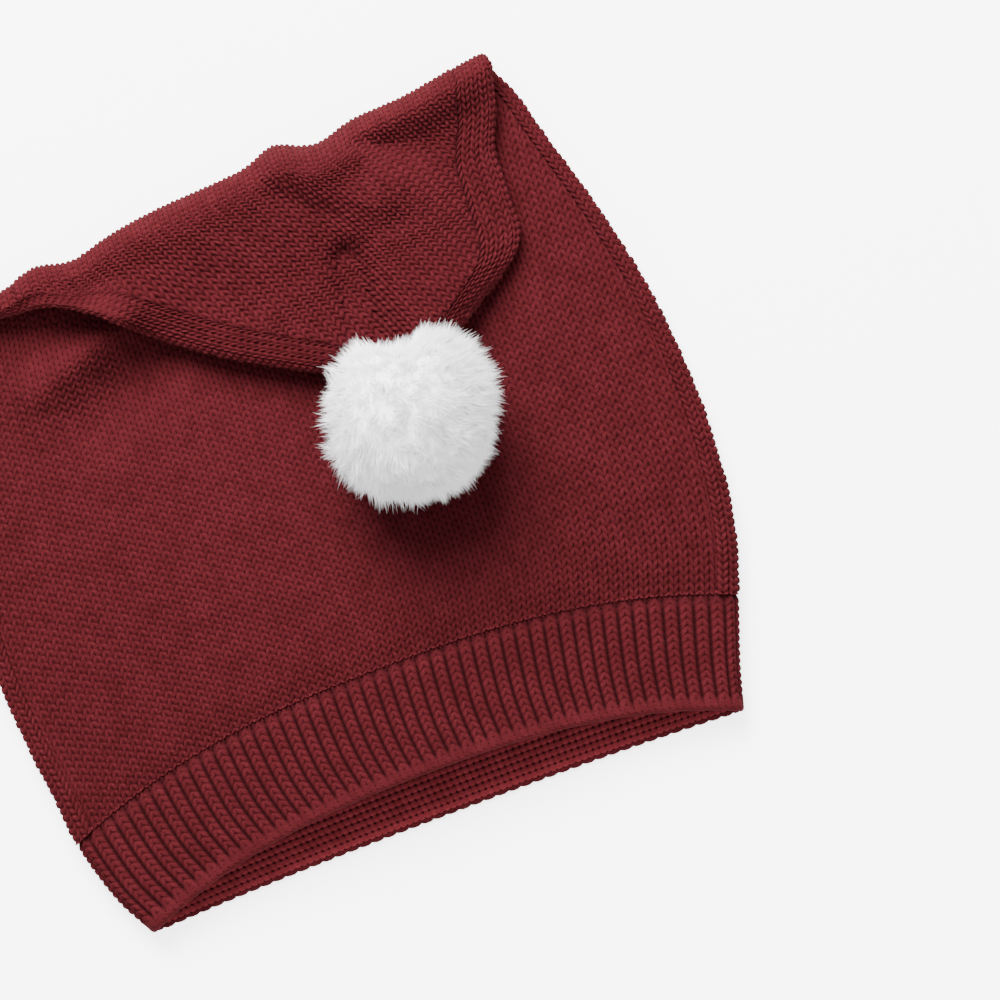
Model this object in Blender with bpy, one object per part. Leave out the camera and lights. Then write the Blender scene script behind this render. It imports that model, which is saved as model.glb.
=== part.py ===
"""A knitted santa hat lying flat, with its tail folded over the front and a fur pompom on the tip.

The hat lies on its back panel. X runs across it, Y from the mouth up to the fold, and Z up from the
surface that it lies on. The origin is on that surface, at the middle of the hat's outline.
"""

import math
from collections import namedtuple

import bmesh
import bpy
from mathutils import Matrix, Vector
from mathutils.bvhtree import BVHTree

# Driving sizes, in metres.
BODY_WIDTH = 0.2284  # flat, at the widest
RIGHT_LENGTH = 0.2125  # mouth to fold, along the right side
LEFT_LENGTH = 0.1965  # mouth to fold, along the left side
CUFF_HEIGHT = 0.0345
PUFF = 0.0115  # how far the front panel stands up from the flat
WALL = 0.0022  # the knitted fabric
LAYER_AIR = 0.0012  # between the two panels where they lie flat
MOUTH_EDGE_RADIUS = 0.0046  # of the rolled side edges, at the mouth
FOLD_AIR = 0.0012  # inside the fold, between the front panel and itself
TAIL_CLEARANCE = 0.0007  # between the folded tail and the body
TAIL_DROP = 0.072  # fold to tip, as seen from above
MOUTH_ARCH = 0.0165  # how far the middle of the front rises above the ends of its row
BACK_ARCH = 0.0022  # the same, on the back panel
FOLD_HEIGHT = 0.008  # of a fold's full height in the tables
RISE_LENGTH = 0.017  # from the fold's edge to where the tail's soft folds reach their height
SINK_LENGTH = 0.026  # from the fold to where the tail's underside has sunk onto the body
LEVEL_BLEND = 0.001  # how softly the underside comes to rest there
RIB_COUNT = 98  # around the cuff
RIB_DEPTH = 0.0008
SEAM_GAP = 0.0004  # between the cuff and the crown
POMPOM_WIDTH = 0.0487  # over the body of the pile, inside the tips of the locks
POMPOM_HEIGHT = 0.043
LOCK_LENGTH = 0.004
POMPOM_CLEARANCE = 0.0005

# The flat edge of the fold: two walls and the air between them, rolled to a half circle.
EDGE_RADIUS = WALL + LAYER_AIR / 2
FOLD_RADIUS = 2 * EDGE_RADIUS + FOLD_AIR
CUFF_TOP = CUFF_HEIGHT / RIGHT_LENGTH

# Rows of the body, from the mouth to the fold. Along is a share of the length, half_width of half
# the body's width, shift of the body's width, puff of PUFF, and arch of MOUTH_ARCH or BACK_ARCH.
# Tilt is how far the row's left end is raised and its right end lowered, as a share of MOUTH_ARCH.
BodyRow = namedtuple("BodyRow", "along half_width shift puff arch tilt")
BODY_ROWS = [
    BodyRow(0.00, 0.838, 0.000, 0.86, 1.00, 0.04),
    BodyRow(0.065, 0.882, -0.006, 0.92, 1.04, 0.08),
    BodyRow(0.16, 0.934, -0.002, 1.00, 1.08, 0.12),
    BodyRow(0.24, 0.965, 0.007, 1.00, 1.00, 0.12),
    BodyRow(0.33, 0.988, 0.011, 0.95, 0.86, 0.10),
    BodyRow(0.47, 1.000, 0.0114, 0.82, 0.62, 0.06),
    BodyRow(0.63, 0.975, 0.0125, 0.58, 0.40, 0.03),
    BodyRow(0.76, 0.9185, 0.0168, 0.33, 0.22, 0.00),
    BodyRow(0.89, 0.840, 0.0250, 0.12, 0.08, 0.00),
    BodyRow(0.96, 0.789, 0.0345, 0.05, 0.02, 0.00),
    BodyRow(1.00, 0.748, 0.0390, 0.03, 0.00, 0.00),
]

# Rows of the tail, from the fold to the tip, seen from above. The x columns are shares of half the
# body's width, the drops are shares of TAIL_DROP, and bow is a share of the row's own length.
TailRow = namedtuple("TailRow", "along left_x left_drop right_x right_drop bow")
TAIL_ROWS = [
    TailRow(0.00, -0.670, 0.000, 0.823, 0.000, 0.00),
    TailRow(0.20, -0.440, 0.090, 0.795, 0.155, 0.010),
    TailRow(0.40, -0.290, 0.290, 0.752, 0.320, 0.030),
    TailRow(0.60, -0.120, 0.495, 0.745, 0.500, 0.045),
    TailRow(0.80, 0.070, 0.675, 0.720, 0.730, 0.05),
    TailRow(0.93, 0.180, 0.760, 0.575, 0.900, 0.03),
    TailRow(1.00, 0.270, 0.850, 0.450, 1.010, 0.00),
]

# Waves in the line of the fold. Place runs from -1 at the left end to 1 at the right, rise is a
# share of FOLD_HEIGHT, and width is on the same scale as place.
FoldWave = namedtuple("FoldWave", "place rise width")
FOLD_WAVES = [
    FoldWave(-0.77, 0.24, 0.08),
    FoldWave(-0.62, -0.20, 0.09),
    FoldWave(-0.30, 0.14, 0.22),
    FoldWave(0.17, 0.36, 0.08),
    FoldWave(0.33, -0.32, 0.10),
    FoldWave(0.66, -0.18, 0.18),
]

# Soft folds, each a mound along a line from start to end. X is a share of half the body's width
# and y of the right side's length. Width is a share of half the body's width, height a share of
# FOLD_HEIGHT, and a higher power gives a flatter top with steeper sides. The body's and the tail's
# folds shape the top face alone, and the lifts raise both panels of the tail off the body.
SoftFold = namedtuple("SoftFold", "start_x start_y end_x end_y width height power")
BODY_FOLDS = [
    SoftFold(-0.34, 0.818, -0.60, 0.775, 0.066, 0.95, 2),
    SoftFold(-0.27, 0.765, -0.48, 0.710, 0.095, -0.46, 2),
    SoftFold(-0.10, 0.700, 0.10, 0.640, 0.16, -0.10, 2),
    SoftFold(0.62, 0.640, 0.50, 0.420, 0.14, 0.12, 2),
]
TAIL_FOLDS = [
    SoftFold(-0.30, 0.850, 0.15, 0.800, 0.380, 0.36, 4),
    SoftFold(-0.12, 0.905, 0.22, 0.890, 0.190, 0.66, 2),
    SoftFold(0.41, 0.960, 0.78, 0.968, 0.060, 0.85, 2),
    SoftFold(0.24, 0.955, 0.42, 0.868, 0.105, 1.12, 4),
    SoftFold(0.44, 0.815, 0.49, 0.660, 0.170, 1.02, 4),
    SoftFold(0.285, 0.800, 0.265, 0.700, 0.045, -0.40, 2),
]
TAIL_LIFTS = [SoftFold(-0.50, 0.875, -0.42, 0.845, 0.095, 1.10, 2)]

BODY_STEPS = 9
BEND_STEPS = 6
TAIL_STEPS = [0.07, 0.16, 0.27, 0.39, 0.51, 0.63, 0.74, 0.84, 0.92, 1.0]
FLAT_STEPS = 17
EDGE_STEPS = 4
CUFF_STEPS = 3
LOCK_LEAN = Vector((0.25, -0.45, 0.1))

RED = (0.147, 0.017, 0.021, 1.0)
WHITE = (0.85, 0.85, 0.86, 1.0)


def mix(a, b, share):
    return a + (b - a) * share


def smooth(share):
    """An even rise from 0 to 1, held at each end."""
    share = min(max(share, 0.0), 1.0)
    return share * share * (3 - 2 * share)


def read(table, column, along):
    """The value of a column at a place along a table, on a smooth curve through its rows."""
    places = [row.along for row in table]
    values = [getattr(row, column) for row in table]
    along = min(max(along, places[0]), places[-1])
    last = len(places) - 1
    first = max(i for i in range(last) if places[i] <= along)

    def slope(i):
        before, after = max(i - 1, 0), min(i + 1, last)
        return (values[after] - values[before]) / (places[after] - places[before])

    span = places[first + 1] - places[first]
    t = (along - places[first]) / span
    return (
        (2 * t**3 - 3 * t**2 + 1) * values[first]
        + (t**3 - 2 * t**2 + t) * span * slope(first)
        + (3 * t**2 - 2 * t**3) * values[first + 1]
        + (t**3 - t**2) * span * slope(first + 1)
    )


def mound_height(folds, x, y):
    """Height of the soft folds at a point of the plan. Raised ones blend and sunk ones add up."""
    raised, sunk = 0.0, 0.0
    for fold in folds:
        start = Vector((fold.start_x * BODY_WIDTH / 2, fold.start_y * RIGHT_LENGTH))
        end = Vector((fold.end_x * BODY_WIDTH / 2, fold.end_y * RIGHT_LENGTH))
        line = end - start
        point = Vector((x, y)) - start
        share = min(max(point.dot(line) / line.length_squared, 0.0), 1.0)
        away = (point - line * share).length / (fold.width * BODY_WIDTH / 2)
        height = fold.height * math.exp(-(away**fold.power))
        raised += max(height, 0.0) ** 3
        sunk += min(height, 0.0)
    return (raised ** (1 / 3) + sunk) * FOLD_HEIGHT


def half_width(along):
    return read(BODY_ROWS, "half_width", along) * BODY_WIDTH / 2


def middle_x(along):
    return read(BODY_ROWS, "shift", along) * BODY_WIDTH


def edge_radius(along):
    return mix(MOUTH_EDGE_RADIUS, EDGE_RADIUS, min(max(along, 0.0), 1.0))


def bend_start(place):
    """Where the fold begins to turn, at a place from -1 at the left side to 1 at the right."""
    length = mix(LEFT_LENGTH, RIGHT_LENGTH, (place + 1) / 2)
    waves = sum(
        wave.rise * FOLD_HEIGHT * math.exp(-(((place - wave.place) / wave.width) ** 2))
        for wave in FOLD_WAVES
    )
    return length - FOLD_RADIUS, waves


def body_y(along, place, lift):
    """Y of a body row, at a place across it. Lift is 0 on the back panel and 1 on the front."""
    straight, waves = bend_start(place)
    arch = read(BODY_ROWS, "arch", along) * mix(BACK_ARCH, MOUTH_ARCH, lift)
    tilt = read(BODY_ROWS, "tilt", along) * MOUTH_ARCH * place
    return along * straight + along**6 * waves + arch * (1 - abs(place) ** 2.5) - tilt


def front_height(along, place, x, y):
    """Height of the front panel's outer face."""
    puff = read(BODY_ROWS, "puff", along) * PUFF * max(1 - place**2, 0.0) ** 1.3
    fade = max(1 - place**2, 0.0) * min(max((1 - along) / 0.12, 0.0), 1.0)
    return 2 * edge_radius(along) + puff + mound_height(BODY_FOLDS, x, y) * fade


def body_point(along, x, lift, rise=0.0):
    """A point of the body's outer face. X is measured from the middle of the row."""
    place = x / half_width(along)
    y = body_y(along, place, lift)
    if lift >= 1:
        height = front_height(along, place, x + middle_x(along), y)
    else:
        height = 2 * edge_radius(along) * lift
    return Vector((x + middle_x(along), y, height + rise))


def ring(half, radius, flat_steps, edge_steps):
    """Places around a flattened section, as (x, lift), round the right edge first."""
    flat = half - radius
    around = []
    for i in range(edge_steps):
        turn = math.pi * (i + 0.5) / edge_steps - math.pi / 2
        around.append((flat + radius * math.cos(turn), (1 + math.sin(turn)) / 2))
    around += [(flat * (1 - 2 * i / flat_steps), 1.0) for i in range(flat_steps + 1)]
    around += [(-x, 1 - lift) for x, lift in around[:edge_steps]]
    around += [(-flat * (1 - 2 * i / flat_steps), 0.0) for i in range(flat_steps + 1)]
    return around


def body_ring(along):
    around = ring(half_width(along), edge_radius(along), FLAT_STEPS, EDGE_STEPS)
    return [body_point(along, x, lift) for x, lift in around]


def bend_ring(turn):
    """A section part of the way round the fold, which turns about an axis along X."""
    points = []
    for x, lift in ring(half_width(1.0), edge_radius(1.0), FLAT_STEPS, EDGE_STEPS):
        flat = body_point(1.0, x, lift)
        reach = FOLD_RADIUS - flat.z
        y = flat.y + reach * math.sin(turn)
        place = x / half_width(1.0)
        swell = tail_swell((turn - math.pi / 2) * FOLD_RADIUS, place, flat.x, y) * (1 - lift)
        points.append(Vector((flat.x, y, FOLD_RADIUS - reach * math.cos(turn) + swell)))
    return points


def front_top(x, y):
    """Height of the body's front panel under a point of the plan, found by iteration."""
    along = min(max(y / RIGHT_LENGTH, 0.0), 1.0)
    for _ in range(8):
        place = min(max((x - middle_x(along)) / half_width(along), -1.0), 1.0)
        miss = y - body_y(along, place, 1.0)
        along = min(max(along + miss / RIGHT_LENGTH, 0.0), 1.0)
    return front_height(along, place, x, y)


def fold_line(x):
    """Y of the line that the fold turns about, at a place across the plan."""
    place = min(max((x - middle_x(1.0)) / half_width(1.0), -1.0), 1.0)
    return sum(bend_start(place))


def tail_under(beyond, x, y):
    """Height of the tail's underside: level with the fold at first, then just clear of the body."""
    level = 2 * (FOLD_RADIUS - EDGE_RADIUS) * (1 - smooth(beyond / SINK_LENGTH))
    body = front_top(x, y) + TAIL_CLEARANCE
    return (level + body + math.hypot(level - body, LEVEL_BLEND)) / 2


def tail_point(along, x, lift):
    """A point of the tail's outer face. The front panel, at lift 1, is underneath here."""
    left_start, right_start = bend_start(-1.0)[0], bend_start(1.0)[0]
    left = Vector(
        (
            read(TAIL_ROWS, "left_x", along) * BODY_WIDTH / 2,
            left_start - read(TAIL_ROWS, "left_drop", along) * TAIL_DROP,
        )
    )
    right = Vector(
        (
            read(TAIL_ROWS, "right_x", along) * BODY_WIDTH / 2,
            right_start - read(TAIL_ROWS, "right_drop", along) * TAIL_DROP,
        )
    )
    row = right - left
    place = x / (row.length / 2)
    bow = read(TAIL_ROWS, "bow", along) * row.length * (1 - place**2)
    plan = left + row * (place + 1) / 2 + Vector((-row.y, row.x)).normalized() * bow
    plan.y += bend_start(place)[1] * (1 - smooth(along / 0.3))
    beyond = fold_line(plan.x) - plan.y
    run = math.pi / 2 * FOLD_RADIUS + beyond
    thickness = 2 * EDGE_RADIUS + tail_swell(run, place, plan.x, plan.y)
    rise = mound_height(TAIL_LIFTS, plan.x, plan.y) * smooth(beyond / RISE_LENGTH)
    under = tail_under(beyond, plan.x, plan.y) + rise
    return Vector((plan.x, plan.y, under + thickness * (1 - lift)))


def tail_swell(run, place, x, y):
    """How far the tail's top is lifted by its soft folds, at a run from the fold's edge."""
    fade = (1 - place**4) * smooth(run / RISE_LENGTH)
    return max(mound_height(TAIL_FOLDS, x, y) * fade, 0.0)


def tail_half(along):
    across = (
        read(TAIL_ROWS, "right_x", along) - read(TAIL_ROWS, "left_x", along)
    ) * BODY_WIDTH / 2
    rise = bend_start(1.0)[0] - bend_start(-1.0)[0]
    drop = read(TAIL_ROWS, "right_drop", along) - read(TAIL_ROWS, "left_drop", along)
    return math.hypot(across, rise - drop * TAIL_DROP) / 2


def tail_ring(along):
    around = ring(tail_half(along), EDGE_RADIUS, FLAT_STEPS, EDGE_STEPS)
    return [tail_point(along, x, lift) for x, lift in around]


def loft(name, rings, closed_rows):
    """A tube of knitted wall through the rings, which are its outer face.

    With closed_rows the far end is closed, and the hollow stops that many rows before it.
    """
    work = bmesh.new()
    outer = [[work.verts.new(point) for point in points] for points in rings]
    skin(work, outer, closed_rows > 0)
    bmesh.ops.recalc_face_normals(work, faces=work.faces)
    work.normal_update()
    hollow = outer[: len(outer) - closed_rows]
    inner = [
        [work.verts.new(v.co - v.normal * WALL * min(v.calc_shell_factor(), 1.25)) for v in row]
        for row in hollow
    ]
    skin(work, inner, closed_rows > 0)
    skin(work, [outer[0], inner[0]], False)
    if not closed_rows:
        skin(work, [outer[-1], inner[-1]], False)
    bmesh.ops.recalc_face_normals(work, faces=work.faces)
    mesh = bpy.data.meshes.new(name)
    work.to_mesh(mesh)
    work.free()
    return mesh


def skin(work, rows, close_end):
    """Faces between the rows. A closed end is zipped across its flat."""
    count = len(rows[0])
    for low, high in zip(rows, rows[1:]):
        for i in range(count):
            j = (i + 1) % count
            work.faces.new((low[i], low[j], high[j], high[i]))
    if not close_end:
        return
    last = rows[-1]
    first = EDGE_STEPS // 2
    for step in range(count // 2 - 1):
        near, far = (first + step) % count, (first - 1 - step) % count
        near_next, far_next = (near + 1) % count, (far - 1) % count
        work.faces.new((last[near], last[near_next], last[far_next], last[far]))


def material(name, colour, roughness):
    made = bpy.data.materials.new(name)
    made.use_nodes = True
    shader = made.node_tree.nodes["Principled BSDF"]
    shader.inputs["Base Color"].default_value = colour
    shader.inputs["Roughness"].default_value = roughness
    shader.inputs["Metallic"].default_value = 0.0
    return made


def put(name, mesh, look, collection):
    placed = bpy.data.objects.new(name, mesh)
    mesh.materials.append(look)
    collection.objects.link(placed)
    return placed


def centre_on_origin(pieces):
    """Moves the pieces so that the origin is under the middle of the hat's outline."""
    corners = [v.co for piece in pieces for v in piece.data.vertices]
    low = Vector((min(c.x for c in corners), min(c.y for c in corners), 0))
    high = Vector((max(c.x for c in corners), max(c.y for c in corners), 0))
    for piece in pieces:
        piece.data.transform(Matrix.Translation(-(low + high) / 2))


def make_crown(look, collection):
    start = CUFF_TOP + SEAM_GAP / RIGHT_LENGTH
    rings = [body_ring(mix(start, 1.0, i / BODY_STEPS)) for i in range(BODY_STEPS + 1)]
    rings += [bend_ring(math.pi * i / BEND_STEPS) for i in range(1, BEND_STEPS + 1)]
    rings += [tail_ring(along) for along in TAIL_STEPS]
    return put("crown", loft("crown", rings, 1), look, collection)


def cuff_ring(along):
    """A section of the cuff, with three points to a rib: its groove and two shoulders."""
    half, radius = half_width(along), edge_radius(along)
    flat = half - radius
    around = 4 * flat + 2 * math.pi * radius
    points = []
    for i in range(RIB_COUNT * 3):
        run = around * i / (RIB_COUNT * 3)
        groove = RIB_DEPTH if i % 3 == 0 else 0.0
        points.append(cuff_point(along, run, flat, radius, groove))
    return points


def cuff_point(along, run, flat, radius, groove):
    """A point at a run round the section from the middle of the right edge, sunk by groove."""
    quarter = math.pi * radius / 2
    side = 1 if run < quarter or run > 3 * quarter + 4 * flat else -1
    front_end = quarter + 2 * flat
    back_start = front_end + 2 * quarter
    if quarter <= run <= front_end:
        return body_point(along, flat - (run - quarter), 1.0, -groove)
    if back_start <= run <= back_start + 2 * flat:
        return body_point(along, run - back_start - flat, 0.0, groove)
    if side > 0:
        turn = run / radius if run < quarter else (run - back_start - 2 * flat) / radius - math.pi / 2
    else:
        turn = math.pi / 2 - (run - front_end) / radius
    reach = radius - groove
    x = side * (flat + reach * math.cos(turn))
    rest = body_point(along, side * (flat + radius * math.cos(turn)), (1 + math.sin(turn)) / 2)
    return Vector((x + middle_x(along), rest.y, radius + reach * math.sin(turn)))


def make_cuff(look, collection):
    rings = [cuff_ring(CUFF_TOP * i / CUFF_STEPS) for i in range(CUFF_STEPS + 1)]
    return put("rib_cuff", loft("rib_cuff", rings, 0), look, collection)


def hat_top(tree, x, y):
    """Height of the crown's highest face near a point of the plan."""
    highest = 0.0
    for step in range(25):
        reach = 0.0 if step == 0 else 0.0025 if step % 2 else 0.005
        turn = math.pi * step / 12
        above = Vector((x + reach * math.cos(turn), y + reach * math.sin(turn), 1.0))
        hit = tree.ray_cast(above, Vector((0, 0, -1)))[0]
        if hit is not None:
            highest = max(highest, hit.z)
    return highest


def make_pompom(crown, look, collection):
    """A round head of pile with short locks drawn out of it, pressed flat where it rests."""
    tree = BVHTree.FromPolygons(
        [v.co for v in crown.data.vertices], [p.vertices for p in crown.data.polygons]
    )
    tip = (tail_point(1.0, 0.0, 0.0) + tail_point(1.0, 0.0, 1.0)) / 2
    centre = Vector((tip.x - 0.14 * POMPOM_WIDTH, tip.y - 0.30 * POMPOM_WIDTH, 0))
    centre.z = hat_top(tree, centre.x, centre.y) + POMPOM_HEIGHT * 0.5
    work = bmesh.new()
    bmesh.ops.create_icosphere(work, subdivisions=3, radius=1.0)
    faces = list(work.faces)
    bmesh.ops.inset_individual(work, faces=faces, thickness=0.012, depth=0.0)
    size = Vector((POMPOM_WIDTH, POMPOM_WIDTH, POMPOM_HEIGHT)) / 2
    roots = {v: v.co.copy() for v in work.verts}
    for number, face in enumerate(faces):
        middle = face.calc_center_median().normalized()
        length = LOCK_LENGTH / size.x * (0.8 + 0.4 * ((number * 7) % 5) / 4)
        for v in face.verts:
            root = roots[v]
            narrowed = middle + (root.normalized() - middle) * 0.45
            v.co = narrowed * (1 + length) + (LOCK_LEAN - middle * LOCK_LEAN.dot(middle)) * length
    for v in work.verts:
        v.co = Vector((v.co.x * size.x, v.co.y * size.y, v.co.z * size.z)) + centre
    for v in work.verts:
        if v.co.z < centre.z:
            v.co.z = max(v.co.z, hat_top(tree, v.co.x, v.co.y) + POMPOM_CLEARANCE)
    mesh = bpy.data.meshes.new("pompom")
    work.to_mesh(mesh)
    work.free()
    return put("pompom", mesh, look, collection)


def main():
    for old in list(bpy.data.objects):
        bpy.data.objects.remove(old)
    hat = bpy.data.collections.new("santa_hat")
    bpy.context.scene.collection.children.link(hat)
    knit = material("red_knit", RED, 0.9)
    crown = make_crown(knit, hat)
    cuff = make_cuff(knit, hat)
    pompom = make_pompom(crown, material("white_pile", WHITE, 0.95), hat)
    centre_on_origin([crown, cuff, pompom])


main()
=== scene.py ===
import math
from collections import namedtuple

import bpy
import numpy as np
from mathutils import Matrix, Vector
from mathutils.bvhtree import BVHTree


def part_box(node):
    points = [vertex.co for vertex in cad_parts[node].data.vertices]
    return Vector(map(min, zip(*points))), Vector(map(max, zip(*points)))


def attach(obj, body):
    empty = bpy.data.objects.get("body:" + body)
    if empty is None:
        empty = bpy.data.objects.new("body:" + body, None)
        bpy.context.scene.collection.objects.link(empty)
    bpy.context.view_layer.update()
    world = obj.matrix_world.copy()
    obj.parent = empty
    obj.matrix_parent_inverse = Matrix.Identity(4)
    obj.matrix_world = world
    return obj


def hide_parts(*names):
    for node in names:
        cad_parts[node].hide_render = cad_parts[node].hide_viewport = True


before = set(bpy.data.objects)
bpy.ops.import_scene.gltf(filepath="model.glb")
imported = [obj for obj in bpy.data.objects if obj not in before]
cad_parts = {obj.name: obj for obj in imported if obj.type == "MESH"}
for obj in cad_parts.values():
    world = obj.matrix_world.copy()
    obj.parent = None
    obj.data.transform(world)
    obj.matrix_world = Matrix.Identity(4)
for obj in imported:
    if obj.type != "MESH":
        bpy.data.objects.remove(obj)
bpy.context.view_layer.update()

bl_info = {
    "name": "Knitted santa hat",
    "version": (1, 0, 0),
    "blender": (4, 5, 0),
    "location": "3D View > Sidebar > Santa hat",
    "description": "Knits a santa hat that lies flat with its tail folded over",
    "category": "Object",
}

# Sizes of the lying hat, in metres. They are the frame's own, so that each piece lies on its solid.
BODY_WIDTH = 0.2284
RIGHT_LENGTH = 0.2125
LEFT_LENGTH = 0.1965
CUFF_HEIGHT = 0.0345
PUFF = 0.0115
WALL = 0.0022
LAYER_AIR = 0.0012
MOUTH_EDGE_RADIUS = 0.0046
FOLD_AIR = 0.0012
TAIL_CLEARANCE = 0.0007
TAIL_DROP = 0.072
MOUTH_ARCH = 0.0165
BACK_ARCH = 0.0022
FOLD_HEIGHT = 0.008
RISE_LENGTH = 0.017
SINK_LENGTH = 0.026
LEVEL_BLEND = 0.001
RIB_COUNT = 98
EDGE_RADIUS = WALL + LAYER_AIR / 2
FOLD_RADIUS = 2 * EDGE_RADIUS + FOLD_AIR
CUFF_TOP = CUFF_HEIGHT / RIGHT_LENGTH

# The knitting's own sizes, in metres.
EDGE_CURL = 0.0035  # how far the tail's left edge stands off the body
BAND_WALES = 7  # in the band of stitches that follows each side edge
FRONT_BAND = 0.002  # how far that band reaches in on the front panel
BACK_BAND = 0.0096  # and on the back panel
HEM = 0.0007  # over which the panels' stitches sink in beside the bands
INSIDE_DEPTH = 0.92  # of the wall, from the outer face to the crown's inner one
RIM_STEPS = 6

# The pompom. Its shares are of half the solid's size, and its turns are as seen from above.
CORE_SHARE = 0.79
ROOT_SHARE = 0.70
TIP_SHARE = 0.93  # on the whole, as no two tufts reach equally far
PILE_LEAN = np.array([0.12, -0.15, 0.05])  # the way it is combed
PARTING_TURN = math.radians(84)  # where the tail's tip parts the pile
PARTING_WIDTH = math.radians(17)
PARTING_DEPTH = 0.19
WORN_TURN = math.radians(-47)  # where the pile is worn shorter
WORN_DEPTH = 0.11
CORNER_TURN = math.radians(-21)  # an eighth of a turn before the pile reaches furthest
PILE_CORNERS = 0.05

# The stage, in metres.
FLOOR_REACH = 4
LAMP_PLACE = (0.02, 1.25, 1.15)
LAMP_WIDTH = 1.2
VIEW_MIDDLE = (0.0493, 0.0839)  # of the picture, from the middle of the hat's mouth
VIEW_LEVEL = 0.012  # height at which the picture's width is measured
SENSOR_WIDTH = 36.0  # in millimetres

# Rows of the body, from the mouth to the fold.
BodyRow = namedtuple("BodyRow", "along half_width shift puff arch tilt")
BODY_ROWS = [
    BodyRow(0.00, 0.838, 0.000, 0.86, 1.00, 0.04),
    BodyRow(0.065, 0.882, -0.006, 0.92, 1.04, 0.08),
    BodyRow(0.16, 0.934, -0.002, 1.00, 1.08, 0.12),
    BodyRow(0.24, 0.965, 0.007, 1.00, 1.00, 0.12),
    BodyRow(0.33, 0.988, 0.011, 0.95, 0.86, 0.10),
    BodyRow(0.47, 1.000, 0.0114, 0.82, 0.62, 0.06),
    BodyRow(0.63, 0.975, 0.0125, 0.58, 0.40, 0.03),
    BodyRow(0.76, 0.9185, 0.0168, 0.33, 0.22, 0.00),
    BodyRow(0.89, 0.840, 0.0250, 0.12, 0.08, 0.00),
    BodyRow(0.96, 0.789, 0.0345, 0.05, 0.02, 0.00),
    BodyRow(1.00, 0.748, 0.0390, 0.03, 0.00, 0.00),
]

# Rows of the tail, from the fold to the tip, seen from above.
TailRow = namedtuple("TailRow", "along left_x left_drop right_x right_drop bow")
TAIL_ROWS = [
    TailRow(0.00, -0.670, 0.000, 0.823, 0.000, 0.00),
    TailRow(0.20, -0.440, 0.090, 0.795, 0.155, 0.010),
    TailRow(0.40, -0.290, 0.290, 0.752, 0.320, 0.030),
    TailRow(0.60, -0.120, 0.495, 0.745, 0.500, 0.045),
    TailRow(0.80, 0.070, 0.675, 0.720, 0.730, 0.05),
    TailRow(0.93, 0.180, 0.760, 0.575, 0.900, 0.03),
    TailRow(1.00, 0.270, 0.850, 0.450, 1.010, 0.00),
]

# Waves in the line of the fold, placed from -1 at its left end to 1 at its right.
FoldWave = namedtuple("FoldWave", "place rise width")
FOLD_WAVES = [
    FoldWave(-0.77, 0.24, 0.08),
    FoldWave(-0.62, -0.20, 0.09),
    FoldWave(-0.30, 0.14, 0.22),
    FoldWave(0.17, 0.36, 0.08),
    FoldWave(0.33, -0.32, 0.10),
    FoldWave(0.66, -0.18, 0.18),
]

# Soft folds, each a mound along a line from start to end.
SoftFold = namedtuple("SoftFold", "start_x start_y end_x end_y width height power")
BODY_FOLDS = [
    SoftFold(-0.34, 0.818, -0.60, 0.775, 0.066, 0.95, 2),
    SoftFold(-0.27, 0.765, -0.48, 0.710, 0.095, -0.46, 2),
    SoftFold(-0.64, 0.870, -0.46, 0.864, 0.055, -0.30, 2),
    SoftFold(-0.10, 0.700, 0.10, 0.640, 0.16, -0.10, 2),
    SoftFold(0.62, 0.640, 0.50, 0.420, 0.14, 0.12, 2),
]
TAIL_FOLDS = [
    SoftFold(-0.30, 0.850, 0.15, 0.800, 0.380, 0.36, 4),
    SoftFold(-0.12, 0.905, 0.22, 0.890, 0.190, 0.66, 2),
    SoftFold(0.41, 0.960, 0.78, 0.968, 0.060, 0.85, 2),
    SoftFold(0.24, 0.955, 0.42, 0.868, 0.105, 1.12, 4),
    SoftFold(0.44, 0.815, 0.49, 0.660, 0.170, 1.02, 4),
    SoftFold(0.292, 0.790, 0.262, 0.690, 0.042, -0.80, 2),
]
TAIL_LIFTS = [SoftFold(-0.50, 0.875, -0.42, 0.845, 0.095, 1.10, 2)]

# Stations run up the hat: 0 to 1 on the body, 1 to 2 round the fold, 2 to 3 down the tail.
FOLD, TAIL, TIP = 1.0, 2.0, 3.0
WIDEST = 0.47  # the station of the body's widest row


def mix(a, b, share):
    return a + (b - a) * share


def smooth(share):
    """An even rise from 0 to 1, held at each end."""
    share = np.clip(share, 0, 1)
    return share * share * (3 - 2 * share)


def read(table, column, along):
    """The values of a column at places along a table, on a smooth curve through its rows."""
    places = np.array([row.along for row in table])
    values = np.array([getattr(row, column) for row in table])
    last = len(places) - 1
    before = np.maximum(np.arange(last + 1) - 1, 0)
    after = np.minimum(np.arange(last + 1) + 1, last)
    slopes = (values[after] - values[before]) / (places[after] - places[before])
    along = np.clip(along, places[0], places[-1])
    first = np.clip(np.searchsorted(places, along, side="right") - 1, 0, last - 1)
    span = places[first + 1] - places[first]
    t = (along - places[first]) / span
    return (
        (2 * t**3 - 3 * t**2 + 1) * values[first]
        + (t**3 - 2 * t**2 + t) * span * slopes[first]
        + (3 * t**2 - 2 * t**3) * values[first + 1]
        + (t**3 - t**2) * span * slopes[first + 1]
    )


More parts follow.
